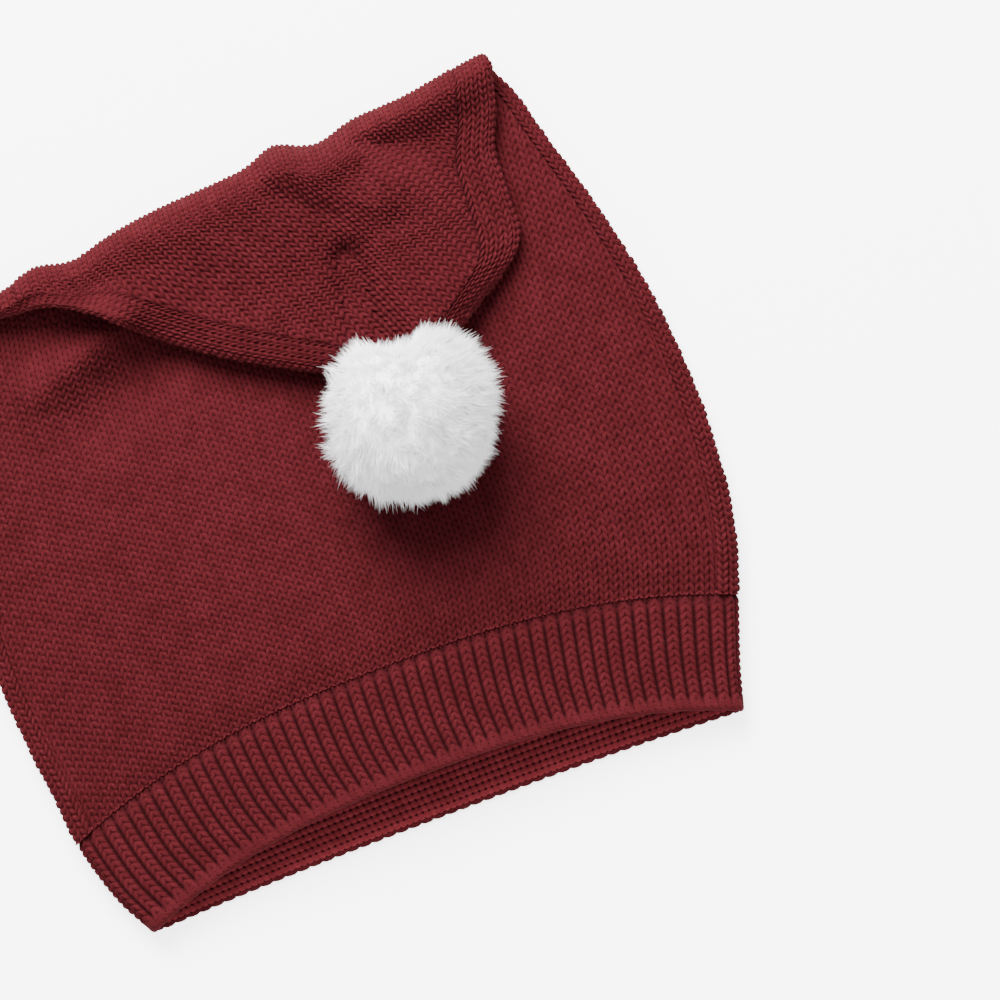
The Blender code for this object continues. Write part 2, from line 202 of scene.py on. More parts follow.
def mound_height(folds, x, y):
    """Height of the soft folds at points of the plan. Raised ones blend and sunk ones add up."""
    raised, sunk = np.zeros((2,) + np.broadcast(x, y).shape)
    for fold in folds:
        start_x, start_y = fold.start_x * BODY_WIDTH / 2, fold.start_y * RIGHT_LENGTH
        line_x = fold.end_x * BODY_WIDTH / 2 - start_x
        line_y = fold.end_y * RIGHT_LENGTH - start_y
        share = ((x - start_x) * line_x + (y - start_y) * line_y) / (line_x**2 + line_y**2)
        share = np.clip(share, 0, 1)
        away = np.hypot(x - start_x - line_x * share, y - start_y - line_y * share)
        away = away / (fold.width * BODY_WIDTH / 2)
        share = fold.height * np.exp(-(away**fold.power))
        raised = raised + np.maximum(share, 0) ** 3
        sunk = sunk + np.minimum(share, 0)
    return (raised ** (1 / 3) + sunk) * FOLD_HEIGHT


def half_width(along):
    return read(BODY_ROWS, "half_width", along) * BODY_WIDTH / 2


def middle_x(along):
    return read(BODY_ROWS, "shift", along) * BODY_WIDTH


def edge_radius(along):
    return mix(MOUTH_EDGE_RADIUS, EDGE_RADIUS, np.clip(along, 0, 1))


def bend_start(place):
    """Where the fold begins to turn, and its waves, at places across it."""
    length = mix(LEFT_LENGTH, RIGHT_LENGTH, (place + 1) / 2)
    waves = sum(
        wave.rise * FOLD_HEIGHT * np.exp(-(((place - wave.place) / wave.width) ** 2))
        for wave in FOLD_WAVES
    )
    return length - FOLD_RADIUS, waves


def body_y(along, place, lift):
    straight, waves = bend_start(place)
    arch = read(BODY_ROWS, "arch", along) * mix(BACK_ARCH, MOUTH_ARCH, lift)
    tilt = read(BODY_ROWS, "tilt", along) * MOUTH_ARCH * place
    return along * straight + along**6 * waves + arch * (1 - np.abs(place) ** 2.5) - tilt


def front_height(along, place, x, y):
    puff = read(BODY_ROWS, "puff", along) * PUFF * np.maximum(1 - place**2, 0) ** 1.3
    fade = np.maximum(1 - place**2, 0) * np.clip((1 - along) / 0.12, 0, 1)
    return 2 * edge_radius(along) + puff + mound_height(BODY_FOLDS, x, y) * fade


def body_point(along, x, lift):
    """Points of the body's outer face. X is measured from the middle of the row."""
    place = x / half_width(along)
    y = body_y(along, place, lift)
    flat = 2 * edge_radius(along)
    swell = front_height(along, place, x + middle_x(along), y) - flat
    return np.stack([x + middle_x(along), y, flat * lift + swell * lift**2], axis=-1)


def bend_point(turn, x, lift):
    flat = body_point(np.ones_like(turn), x, lift)
    reach = FOLD_RADIUS - flat[..., 2]
    y = flat[..., 1] + reach * np.sin(turn)
    place = x / half_width(np.array(1.0))
    swell = tail_swell((turn - math.pi / 2) * FOLD_RADIUS, place, flat[..., 0], y) * (1 - lift)
    return np.stack([flat[..., 0], y, FOLD_RADIUS - reach * np.cos(turn) + swell], axis=-1)


def front_top(x, y):
    """Height of the body's front panel under points of the plan, found by iteration."""
    along = np.clip(y / RIGHT_LENGTH, 0, 1)
    for _ in range(8):
        place = np.clip((x - middle_x(along)) / half_width(along), -1, 1)
        miss = y - body_y(along, place, 1.0)
        along = np.clip(along + miss / RIGHT_LENGTH, 0, 1)
    return front_height(along, place, x, y)


def tail_ends(along):
    """The left and right ends of tail rows, in plan."""
    left_start, right_start = bend_start(-1.0)[0], bend_start(1.0)[0]
    left_x = read(TAIL_ROWS, "left_x", along) * BODY_WIDTH / 2
    left_y = left_start - read(TAIL_ROWS, "left_drop", along) * TAIL_DROP
    right_x = read(TAIL_ROWS, "right_x", along) * BODY_WIDTH / 2
    right_y = right_start - read(TAIL_ROWS, "right_drop", along) * TAIL_DROP
    return left_x, left_y, right_x, right_y


def tail_half(along):
    left_x, left_y, right_x, right_y = tail_ends(along)
    return np.hypot(right_x - left_x, right_y - left_y) / 2


def tail_point(along, x, lift):
    """Points of the tail's outer face. The front panel, at lift 1, is underneath here."""
    left_x, left_y, right_x, right_y = tail_ends(along)
    row_x, row_y = right_x - left_x, right_y - left_y
    length = np.hypot(row_x, row_y)
    place = x / (length / 2)
    bow = read(TAIL_ROWS, "bow", along) * (1 - place**2)
    plan_x = left_x + row_x * (place + 1) / 2 - row_y * bow
    plan_y = left_y + row_y * (place + 1) / 2 + row_x * bow
    across = np.clip((plan_x - middle_x(1.0)) / half_width(np.array(1.0)), -1, 1)
    fold_y, waves = bend_start(across)
    plan_y = plan_y + waves * (1 - smooth(along / 0.3))
    beyond = fold_y + waves - plan_y
    run = math.pi / 2 * FOLD_RADIUS + beyond
    swell = tail_swell(run, place, plan_x, plan_y)
    rise = mound_height(TAIL_LIFTS, plan_x, plan_y) * smooth(beyond / RISE_LENGTH)
    curl = EDGE_CURL * np.exp(-(((place + 1) / 0.3) ** 2)) * smooth(along / 0.25)
    rise = rise + curl * (1 - smooth((along - 0.8) / 0.2))
    level = 2 * (FOLD_RADIUS - EDGE_RADIUS) * (1 - smooth(beyond / SINK_LENGTH))
    body = front_top(plan_x, plan_y) + TAIL_CLEARANCE
    under = (level + body + np.hypot(level - body, LEVEL_BLEND)) / 2 + rise
    return np.stack([plan_x, plan_y, under + (2 * EDGE_RADIUS + swell) * (1 - lift)], axis=-1)


def tail_swell(run, place, x, y):
    """How far the tail's top is lifted by its soft folds, at a run from the fold's edge."""
    fade = (1 - place**4) * smooth(run / RISE_LENGTH)
    return np.maximum(mound_height(TAIL_FOLDS, x, y) * fade, 0)


def hat_point(station, x, lift):
    """Points of the hat's outer face at a station, a place across it and a lift."""
    station, x, lift = np.broadcast_arrays(station, x, lift)
    points = np.zeros(station.shape + (3,))
    body, tail = station <= FOLD, station > TAIL
    bend = ~body & ~tail
    points[body] = body_point(station[body], x[body], lift[body])
    points[bend] = bend_point((station[bend] - FOLD) * math.pi, x[bend], lift[bend])
    points[tail] = tail_point(np.minimum(station[tail] - TAIL, 1.0), x[tail], lift[tail])
    return points + ORIGIN


def section_half(station):
    """Half the section's width at a station."""
    body = half_width(np.minimum(station, 1.0))
    return np.where(station <= TAIL, body, tail_half(np.clip(station - TAIL, 0, 1)))


def section_radius(station):
    return edge_radius(np.minimum(station, 1.0))


def frame_origin():
    """The move from the hat's own middle line to the frame, from the crown's far corner."""
    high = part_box("crown")[1]
    across = np.linspace(-1, 1, 401)
    widest = max(float(half_width(a) + middle_x(a)) for a in np.linspace(0.3, 0.7, 81))
    fold_x = across * half_width(np.array(1.0))
    bends = body_point(np.ones_like(across), fold_x, np.zeros_like(across))
    top = float((bends[:, 1] + FOLD_RADIUS).max())
    return np.array([high[0] - widest, high[1] - top, 0.0])


ORIGIN = np.zeros(3)
ORIGIN = frame_origin()


def section_arc(station, arc, side):
    """Places (x, lift) at arc lengths round an edge, from FRONT_BAND in on the front panel."""
    radius = section_radius(station)
    flat = section_half(station) - radius
    turn = np.clip((arc - FRONT_BAND) / radius, 0, math.pi)
    before = np.clip(FRONT_BAND - arc, 0, None)
    after = np.clip(arc - FRONT_BAND - math.pi * radius, 0, None)
    x = flat - before - after + radius * np.sin(turn)
    return side * x, (1 + np.cos(turn)) / 2


def band_arc(station):
    """The arc length of the band of wales that follows an edge."""
    return FRONT_BAND + math.pi * section_radius(station) + BACK_BAND


def wale_drift(station):
    """How far a tail row's middle has drifted from the line along which its wales run."""
    left_x, left_y, right_x, right_y = tail_ends(np.clip(station - TAIL, 0, 1))
    first = tail_ends(np.array(0.0))
    last = tail_ends(np.array(1.0))
    along_fold = np.array([first[2] - first[0], first[3] - first[1]])
    along_fold = along_fold / np.hypot(*along_fold)

    def shares(x, y):
        x, y = x - (first[0] + first[2]) / 2, y - (first[1] + first[3]) / 2
        return x * along_fold[0] + y * along_fold[1], x * along_fold[1] - y * along_fold[0]

    beside, below = shares((left_x + right_x) / 2, (left_y + right_y) / 2)
    end_beside, end_below = shares((last[0] + last[2]) / 2, (last[1] + last[3]) / 2)
    return beside - end_beside * (below / end_below)


def course_stations(curve, first, last, course):
    """Stations of each course along a curve, which gives points at stations."""
    stations = np.linspace(first, last, 900)
    points = curve(stations)
    lengths = np.concatenate([[0], np.cumsum(np.linalg.norm(np.diff(points, axis=0), axis=1))])
    count = max(int(round(lengths[-1] / course)), 1)
    return np.interp(np.linspace(0, lengths[-1], count + 1), lengths, stations)


def stitch_grid(wales, courses, across, up, slant):
    """A grid in stitches whose rows zigzag along their legs: wales, courses, and leg courses."""
    wale = np.arange(wales[0] * across, wales[1] * across + 1) / across
    leg = np.arange(math.floor(-slant * up), courses * up + 1) / up
    wale, leg = np.meshgrid(wale, leg)
    zigzag = 2 * np.abs(wale - np.floor(wale) - 0.5)
    return wale, np.clip(leg + slant * zigzag, 0, courses), leg


def between_ends(course, courses):
    """The quads that aren't drawn out to nothing at a panel's first or last course."""
    level = course[:-1, :-1] + course[1:, 1:] + course[1:, :-1] + course[:-1, 1:]
    return (level > 0) & (level < courses * 4)


def tightness(seed, mean=0.96, spread=0.13, rows=173, columns=211):
    """How far each leg of the stitches stands out, as no two are drawn up alike."""
    return np.random.default_rng(seed).normal(mean, spread, (rows, columns))


def each_leg(tension, row, column):
    """The tightness of the legs that points of a grid lie on."""
    rows = np.floor(row).astype(int) % tension.shape[0]
    columns = np.floor(column).astype(int) % tension.shape[1]
    return tension[rows, columns]


def pillow(wale, leg, tension):
    """Relief of plain stitches from 0 in their gaps to 1 on their legs."""
    across = np.abs(np.sin(2 * math.pi * wale)) ** 0.85
    up = 0.25 + 0.75 * np.abs(np.sin(math.pi * leg)) ** 0.8
    return across * up * each_leg(tension, leg, wale * 2)


def open_share(station):
    """How deep the stitches stay: round the outside of the fold they are drawn out flat."""
    return 1 - 0.6 * np.exp(-(((station - 1.45) / 0.4) ** 2))


def facing(surface, a, b, step_a, step_b):
    """Unit normals of a surface by small steps along its two parameters."""
    along_a = surface(a + step_a, b) - surface(a - step_a, b)
    along_b = surface(a, b + step_b) - surface(a, b - step_b)
    normal = np.cross(along_a, along_b)
    return normal / np.maximum(np.linalg.norm(normal, axis=-1, keepdims=True), 1e-12)


def grid_object(name, points, uv, keep=None, flip=False):
    """A mesh object from a grid of points, with its stitch coordinates as its UV map."""
    # the knitting is pressed flat where it lies on the floor
    points[..., 2] = np.maximum(points[..., 2], 0.0)
    rows, columns = points.shape[:2]
    index = np.arange(rows * columns).reshape(rows, columns)
    quads = np.stack([index[:-1, :-1], index[:-1, 1:], index[1:, 1:], index[1:, :-1]], axis=-1)
    quads = quads.reshape(-1, 4)
    if keep is not None:
        quads = quads[keep.reshape(-1)]
    if flip:
        quads = quads[:, ::-1]
    used, quads = np.unique(quads, return_inverse=True)
    quads = quads.reshape(-1, 4)
    return mesh_object(name, points.reshape(-1, 3)[used], quads, uv.reshape(-1, 2)[used])


def mesh_object(name, points, polygons, uv):
    """A smooth-shaded object from arrays of points and of equal polygons."""
    mesh = bpy.data.meshes.new(name)
    size = polygons.shape[1]
    mesh.vertices.add(len(points))
    mesh.vertices.foreach_set("co", points.astype(np.float32).ravel())
    mesh.loops.add(polygons.size)
    mesh.loops.foreach_set("vertex_index", polygons.astype(np.int32).ravel())
    mesh.polygons.add(len(polygons))
    mesh.polygons.foreach_set("loop_start", np.arange(0, polygons.size, size, dtype=np.int32))
    mesh.update(calc_edges=True)
    layer = mesh.uv_layers.new(name="stitch")
    layer.data.foreach_set("uv", uv[polygons.ravel()].astype(np.float32).ravel())
    mesh.shade_smooth()
    mesh.validate()
    made = bpy.data.objects.new(name, mesh)
    bpy.context.scene.collection.objects.link(made)
    return made


def dress(piece, node, look):
    """Gives a piece its material and its body, and hides the solid that it stands for."""
    piece.data.materials.append(look)
    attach(piece, "root")
    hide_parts(node)
    return piece


class Wire:
    """A shader socket that takes part in arithmetic."""

    def __init__(self, socket):
        self.socket = socket

    def math(self, operation, *others):
        node = self.socket.node.id_data.nodes.new("ShaderNodeMath")
        node.operation = operation
        for place, value in enumerate((self,) + others):
            plug(node.inputs[place], value)
        return Wire(node.outputs[0])

    def __add__(self, other):
        return self.math("ADD", other)

    __radd__ = __add__

    def __mul__(self, other):
        return self.math("MULTIPLY", other)

    __rmul__ = __mul__

    def __sub__(self, other):
        return self.math("SUBTRACT", other)

    def __rsub__(self, other):
        return (self * -1) + other

    def __abs__(self):
        return self.math("ABSOLUTE")

    def sine(self):
        return self.math("SINE")

    def whole(self):
        return self.math("FLOOR")


def plug(socket, value):
    if isinstance(value, Wire):
        socket.node.id_data.links.new(value.socket, socket)
    else:
        socket.default_value = value


class Look:
    """A node material under construction."""

    def __init__(self, name):
        self.material = bpy.data.materials.new(name)
        self.material.use_nodes = True
        self.tree = self.material.node_tree
        self.shader = self.tree.nodes["Principled BSDF"]

    def node(self, kind, settings=None, output=None, **inputs):
        """Adds a node. Inputs are named by socket, with underscores for spaces."""
        node = self.tree.nodes.new(kind)
        for key, value in (settings or {}).items():
            setattr(node, key, value)
        for key, value in inputs.items():
            plug(self.named(node.inputs, key.replace("_", " ")), value)
        return Wire(self.named(node.outputs, output))

    @staticmethod
    def named(sockets, name):
        """The first socket in use that has the name, or the first of all without one."""
        return next(s for s in sockets if s.enabled and name in (None, s.name))

    def mix_colour(self, factor, first, second):
        settings = {"data_type": "RGBA"}
        return self.node("ShaderNodeMix", settings, Factor=factor, A=first, B=second)

    def smooth(self, value, low, high):
        settings = {"interpolation_type": "SMOOTHSTEP"}
        return self.node("ShaderNodeMapRange", settings, Value=value, From_Min=low, From_Max=high)

    def noise(self, vector, scale, detail):
        return self.node("ShaderNodeTexNoise", Vector=vector, Scale=scale, Detail=detail)

    def stitch(self):
        """The stitch coordinates: wales, and courses along the legs."""
        uv = self.node("ShaderNodeUVMap", {"uv_map": "stitch"})
        return (self.node("ShaderNodeSeparateXYZ", output=part, Vector=uv) for part in "XY")

    def millimetres(self):
        """Object coordinates in millimetres."""
        metres = self.node("ShaderNodeTexCoord", output="Object")
        return self.node("ShaderNodeVectorMath", {"operation": "SCALE"}, Vector=metres, Scale=1000.0)

    def finish(self, **inputs):
        for key, value in inputs.items():
            plug(self.shader.inputs[key.replace("_", " ")], value)
        return self.material


def ribbed_gap_shade(look, settings, wale, leg, across, up):
    """Painted shade on the cuff: in its sunk wales, in the gaps in its stitches and along the seam.
    """
    ridge = abs((wale * math.pi).sine())
    rim = CUFF_HEIGHT / settings.rib_course
    # painted shade down the sunk wales, away from the rim and from the top courses
    groove_shade = look.smooth(ridge, 0.6, 0.14) * look.smooth(leg, rim - 1.2, rim - 2.6)
    gap_shade = groove_shade * look.smooth(leg, 0.8, 2.3) * (up * 0.35 + 0.5)
    gap_shade = gap_shade + look.smooth(across + up * 0.7, 0.8, 0.1) * 0.75
    # painted shade along the seam where the crown's first courses meet the cuff
    return gap_shade + look.smooth(leg, 2.0, 0.7) * 0.6


def edge_gap_shade(look, wale, leg, up):
    """Painted shade in the gaps along both sides of an edge band, which open up towards the fold."""
    half = BAND_WALES / 2
    edge = look.smooth(abs(wale - half), half - 0.45, half - 0.1)
    drawn = look.smooth(leg, 34.0, 62.0) * 0.85 + 0.15
    return edge * look.smooth(up, 0.85, 0.25) * drawn


def knit_look(name, settings, ribbed=False, edged=False, inner=False):
    """Dyed yarn: plies, loose fibres and mottling on the legs, and painted shade in the gaps between
    them.
    """
    look = Look(name)
    wale, leg = look.stitch()
    spot = look.millimetres()
    across = abs((wale * (2 * math.pi)).sine())
    up = abs((leg * math.pi).sine())
    # painted shade: a mask of where the gaps between the stitches fall, which takes the dark gap
    # colour
    if ribbed:
        gap_shade = ribbed_gap_shade(look, settings, wale, leg, across, up)
    elif inner:
        gap_shade = look.smooth(across * 0.7 + up, 1.0, 0.25)
    else:
        gap_shade = look.smooth(across + up * 0.6, 0.85, 0.08)
    if edged:
        gap_shade = gap_shade + edge_gap_shade(look, wale, leg, up)
    tuft = look.noise(spot, 0.11, 3.0)
    fleck = look.noise(spot, 2.3, 2.0)
    leg_number = look.node("ShaderNodeCombineXYZ", X=(wale * 2).whole(), Y=leg.whole())
    chance = look.node("ShaderNodeTexWhiteNoise", {"noise_dimensions": "2D"}, Vector=leg_number)
    plies = (leg * (4 * math.pi) + across * 5.0 + fleck * 3.0).sine()
    # painted light: the cuff's inside takes the yarn's colours brightened by this share, standing in
    # for light reaching into the mouth
    painted_light = settings.inner_painted_light if inner else 1.0
    yarn, yarn_pale, yarn_deep = (
        tuple(part * painted_light for part in colour) + (1,)
        for colour in (settings.yarn, settings.yarn_pale, settings.yarn_deep)
    )
    pale = look.mix_colour(look.smooth(fleck, 0.35, 0.75), yarn, yarn_pale)
    mottled = look.mix_colour(look.smooth(tuft, 0.35, 0.7) * 0.3 + chance * 0.45, pale, yarn_deep)
    # painted shade in the gaps, laid over the yarn's own colour
    colour = look.mix_colour(gap_shade, mottled, tuple(settings.painted_gap_shade) + (1,))
    height = plies * 0.12 + fleck * 0.8
    bump = look.node("ShaderNodeBump", Strength=0.55, Distance=0.00035, Height=height)
    return look.finish(
        Base_Color=colour, Roughness=0.95, Specular_IOR_Level=0.02, Sheen_Weight=0.007,
        Sheen_Roughness=0.5, Sheen_Tint=(0.9, 0.4, 0.4, 1.0), Normal=bump,
    )


def pile_look(name, settings):
    """White pile, with painted shade that greys it faintly towards the roots."""
    look = Look(name)
    root, _ = look.stitch()
    clump = look.smooth(look.noise(look.millimetres(), 0.22, 2.0), 0.4, 0.75) * 0.35
    pile, pile_root_shade, pile_shade = (
        tuple(colour) + (1,) for colour in (settings.pile, settings.pile_root_shade, settings.pile_shade)
    )
    # painted shade: the pile greys from its tips down to its roots, where shade falls deep in the
    # pile
    colour = look.mix_colour(look.smooth(root, 0.0, 0.65), pile_root_shade, pile)
    return look.finish(
        Base_Color=look.mix_colour(clump, colour, pile_shade), Roughness=0.8,
        Specular_IOR_Level=0.25, Sheen_Weight=0.3, Sheen_Roughness=0.4,
    )


def centre_surface(lift):
    return lambda x, station: hat_point(station, x, np.full(np.shape(x), float(lift)))


def band_surface(side):
    def surface(arc, station):
        x, lift = section_arc(station, arc, side)
        return hat_point(station, x, lift)

    return surface


def knit_centre(name, settings, lift, first, last, across, up, look):
    """A panel's middle, whose wales run straight and end where the edge bands cut them off."""
    surface = centre_surface(lift)
    stations = course_stations(
        lambda s: surface(np.zeros_like(s), s), first, last, settings.course
    )
    courses = len(stations) - 1
    wales = math.ceil(BODY_WIDTH / 2 / settings.wale)
    wale, course, leg = stitch_grid((-wales, wales), courses, across, up, settings.slant)
    station = np.interp(course, np.arange(courses + 1), stations)
    # towards the mouth the wales draw in with the sides
    drawn = half_width(station) / half_width(np.array(WIDEST))
    x = wale * settings.wale * np.where(station < WIDEST, drawn, 1.0) - wale_drift(station)
    band = FRONT_BAND if lift else BACK_BAND
    limit = section_half(station) - section_radius(station) - band
    inside = np.abs(x) < limit
    x = np.clip(x, -limit, limit)
    # each panel's outside is the face that looks away from the other panel
    normal = facing(surface, x, station, 0.0006, 0.003) * (1 if lift else -1)
    hem = np.clip((limit - np.abs(x)) / HEM, 0, 1)
    # where the back panel lies on the floor its stitches reach no lower than the floor
    sunk = np.where(station < FOLD, 1.0 if lift == 0 else 0.62, 0.62)
    # the front dips where it meets the cuff
    dent = 0.7 * np.exp(-(((station - CUFF_TOP) / 0.028) ** 2)) * lift
    tension = tightness(7 + int(first * 10))
    relief = pillow(wale, leg, tension) * hem * open_share(station) - sunk - dent
    points = surface(x, station) + normal * (relief * settings.depth)[..., None]
    keep = inside[:-1, :-1] | inside[:-1, 1:] | inside[1:, 1:] | inside[1:, :-1]
    keep &= between_ends(course, courses)
    piece = grid_object(name, points, np.stack([wale, leg], axis=-1), keep, flip=not lift)
    return dress(piece, "crown", look)


def knit_band(name, settings, side, across, up, look):
    """The wales that follow an edge, from the cuff round the fold to the tip."""
    surface = band_surface(side)
    stations = course_stations(
        lambda s: surface(band_arc(s) * 0.55, s), CUFF_TOP, TIP, settings.course
    )
    courses = len(stations) - 1
    wale, course, leg = stitch_grid((0, BAND_WALES), courses, across, up, settings.slant)
    station = np.interp(course, np.arange(courses + 1), stations)
    arc = wale / BAND_WALES * band_arc(station)
    normal = facing(surface, arc, station, 0.0005, 0.003) * side
    relief = pillow(wale, leg, tightness(11 + side)) * open_share(station) - 0.8
    points = surface(arc, station) + normal * (relief * settings.depth)[..., None]
    stitches = np.stack([wale, leg], axis=-1)
    piece = grid_object(name, points, stitches, between_ends(course, courses), flip=side < 0)
    return dress(piece, "crown", look)


def section_ring(station, share):
    """Places (x, lift) at shares of the way round a whole section, from the right edge up."""
    radius = section_radius(station)
    flat = section_half(station) - radius
    around = 4 * flat + 2 * math.pi * radius
    run = np.mod(share, 1.0) * around
    quarter = math.pi * radius / 2
    front_end = quarter + 2 * flat
    left_end = front_end + 2 * quarter
    back_end = left_end + 2 * flat
    turn_right = np.where(run <= quarter, run, run - back_end - quarter) / radius
    turn_left = math.pi / 2 - (run - front_end) / radius
    parts = [(run <= quarter) | (run >= back_end), run <= front_end, run <= left_end]
    right_x = flat + radius * np.cos(turn_right)
    left_x = -flat - radius * np.cos(turn_left)
    x = np.select(parts, [right_x, flat - (run - quarter), left_x], run - left_end - flat)
    lifts = [(1 + np.sin(turn_right)) / 2, np.ones_like(run), (1 + np.sin(turn_left)) / 2]
    return x, np.select(parts, lifts, 0.0)


def ring_surface(share, station):
    x, lift = section_ring(station, share)
    return hat_point(station, x, lift)


def knit_inside(look):
    """The crown's inner face, up the body, round the fold and down into the tail."""
    body, bend, tail = np.linspace(CUFF_TOP, 1, 70), np.linspace(1, 2, 12), np.linspace(2, 2.94, 24)
    stations = np.concatenate([body, bend[1:], tail[1:]])
    share, station = np.meshgrid(np.linspace(0, 1, 241), stations)
    normal = -facing(ring_surface, share, station, 0.0008, 0.003)
    points = ring_surface(share, station) - normal * (WALL * INSIDE_DEPTH)
    stitches = np.stack([share * 150, station * 80], axis=-1)
    return dress(grid_object("crown_inside", points, stitches), "crown", look)


def rib_profile(wale):
    """Relief across a rib pair, from 0 in the sunk wale to 1 on the raised one's legs."""
    from_ridge = np.abs(wale - np.floor(wale) - 0.5)
    return np.interp(from_ridge, [0, 0.16, 0.34, 0.43, 0.5], [0.55, 1.0, 0.66, 0.10, 0.0])


def cuff_grid(settings):
    """Wales, legs and courses of the cuff's stitches, with the share of the way round."""
    within = np.array([0.0, 0.12, 0.34, 0.5, 0.66, 0.88])
    columns = np.append((np.arange(RIB_COUNT)[:, None] + within).ravel(), RIB_COUNT)
    courses = max(int(round(CUFF_HEIGHT / settings.rib_course)), 1)
    leg = np.arange(0, courses * 5 + 1) / 5
    wale, leg = np.meshgrid(columns, leg)
    from_ridge = np.abs(wale - np.floor(wale) - 0.5)
    slant = settings.slant * np.clip(from_ridge / 0.34, 0, 1)
    fade = np.clip(np.minimum(leg, courses - leg), 0, 1)
    course = np.clip(leg + (slant - 0.3) * fade, 0, courses)
    return wale, leg, course, courses, (wale + 0.5) / RIB_COUNT


def cuff_relief(wale, leg, courses, share, top):
    """Relief of the cuff's outside and of its inside, in shares of the ribs' height."""
    beads = np.abs(np.sin(math.pi * leg)) ** 0.6
    beads = beads * each_leg(tightness(5, mean=1.0, spread=0.07, rows=97), leg, wale)
    edge = smooth((leg - courses + 2.2) / 1.4)
    outside = mix(rib_profile(wale) * (0.55 + 0.45 * beads), 0.85, edge)
    across = section_ring(np.full_like(share, top), share)[0] / section_half(np.array(top))
    seam = (1 - smooth((leg - 0.5) / 1.9)) * (1 - 0.75 * np.abs(across) ** 12)
    outside = mix(outside, -0.3 + 0.3 * beads, seam)
    # the top courses pass under the crown's first ones
    outside = mix(outside, -1.0, 1 - smooth((leg - 0.2) / 0.9))
    halves = np.abs(np.sin(2 * math.pi * wale)) ** 0.7
    inside = (0.3 + 0.7 * rib_profile(wale + 0.5)) * (0.35 + 0.65 * beads) * (0.45 + 0.55 * halves)
    return outside, mix(inside, 0.75, edge * 0.6)


def rim_rows(outer, inner, wale, share):
    """Rows of the rolled rim from the outer face's edge to the inner one's, and their rise."""
    lip, half = (outer + inner) / 2, (outer - inner) / 2
    above = ring_surface(share, np.full_like(share, 0.01))
    down = ring_surface(share, np.full_like(share, 0.0)) - above
    down /= np.linalg.norm(down, axis=-1, keepdims=True)
    # the rim is even along the front and bumpy at each rib along the back
    lift = section_ring(np.zeros_like(share), share)[1]
    bumps = 1.2 + 0.55 * (1 - lift) * (np.abs(np.sin(math.pi * wale)) - 0.4)
    reach = np.linalg.norm(half, axis=-1, keepdims=True) * bumps[:, None]
    turns = np.linspace(0, math.pi, RIM_STEPS + 1)[1:]
    rim = np.stack([lip + half * math.cos(t) + down * reach * math.sin(t) for t in turns])
    return rim, np.sin(turns)[:, None]


def knit_cuff(settings, look, inner_painted_light_look):
    """The ribbed cuff: its outside from the crown down with its rolled rim, and its inside."""
    wale, leg, course, courses, share = cuff_grid(settings)
    top = CUFF_TOP * 1.05
    outside, inside = cuff_relief(wale, leg, courses, share, top)
    tall = settings.rib_height
    # the legs slant on the outside, and lie level on the inside
    station = top * (1 - course / courses)
    normal = -facing(ring_surface, share, station, 0.0008, 0.003)
    outer = ring_surface(share, station) + normal * ((outside - 1.0) * tall)[..., None]
    station = top * (1 - leg / courses)
    normal = -facing(ring_surface, share, station, 0.0008, 0.003)
    inner = ring_surface(share, station) - normal * (WALL + (inside - 0.6) * tall)[..., None]
    rim, rise = rim_rows(outer[-1], inner[-1], wale[0], share[0])
    rim_leg = courses + np.repeat(rise * 0.5, wale.shape[1], axis=1)
    rim_wale = np.repeat(wale[:1] + 0.25, RIM_STEPS, axis=0)
    stitches = [np.concatenate([wale, rim_wale]), np.concatenate([leg, rim_leg])]
    points = np.concatenate([outer, rim])
    knit = grid_object("rib_cuff_knit", points, np.stack(stitches, axis=-1))
    dress(knit, "rib_cuff", look)
    within = grid_object("rib_cuff_inside", inner[::-1], np.stack([wale, leg], axis=-1)[::-1])
    dress(within, "rib_cuff", inner_painted_light_look)


def surface_tree(name):
    """The faces of a frame solid, for looking down on."""
    solid = bpy.data.objects[name]
    mesh = solid.data
    corners = [solid.matrix_world @ v.co for v in mesh.vertices]
    return BVHTree.FromPolygons(corners, [tuple(p.vertices) for p in mesh.polygons])


def top_of(tree, x, y):
    hit = tree.ray_cast(Vector((x, y, 1.0)), Vector((0, 0, -1)))[0]
    return hit.z if hit is not None else 0.0


def sphere_points(count):
    """Directions spread evenly over a sphere."""
    index = np.arange(count) + 0.5
    polar = np.arccos(1 - 2 * index / count)
    turn = math.pi * (1 + 5**0.5) * index
    return np.stack(
        [np.cos(turn) * np.sin(polar), np.sin(turn) * np.sin(polar), np.cos(polar)], axis=-1
    )


def unit(vectors):
    return vectors / np.linalg.norm(vectors, axis=-1, keepdims=True)


def pompom_place():
    """The middle of the pompom's solid, and half its size."""
    low, high = (np.array(corner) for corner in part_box("pompom"))
    return (low + high) / 2, (high - low) / 2


def parted(direction):
    """Share of the pile's reach kept in a direction: less where the tail's tip parts it."""
    level = np.hypot(direction[..., 0], direction[..., 1])
    around = np.arctan2(direction[..., 1], direction[..., 0])
    away = np.abs(np.mod(around - PARTING_TURN + math.pi, 2 * math.pi) - math.pi)
    share = PILE_CORNERS * np.sin(2 * (around - CORNER_TURN)) ** 2
    share = share - WORN_DEPTH * np.maximum(np.cos(around - WORN_TURN), 0) ** 2
    share = share - PARTING_DEPTH * np.exp(-((away / PARTING_WIDTH) ** 4))
    return 1 + share * level


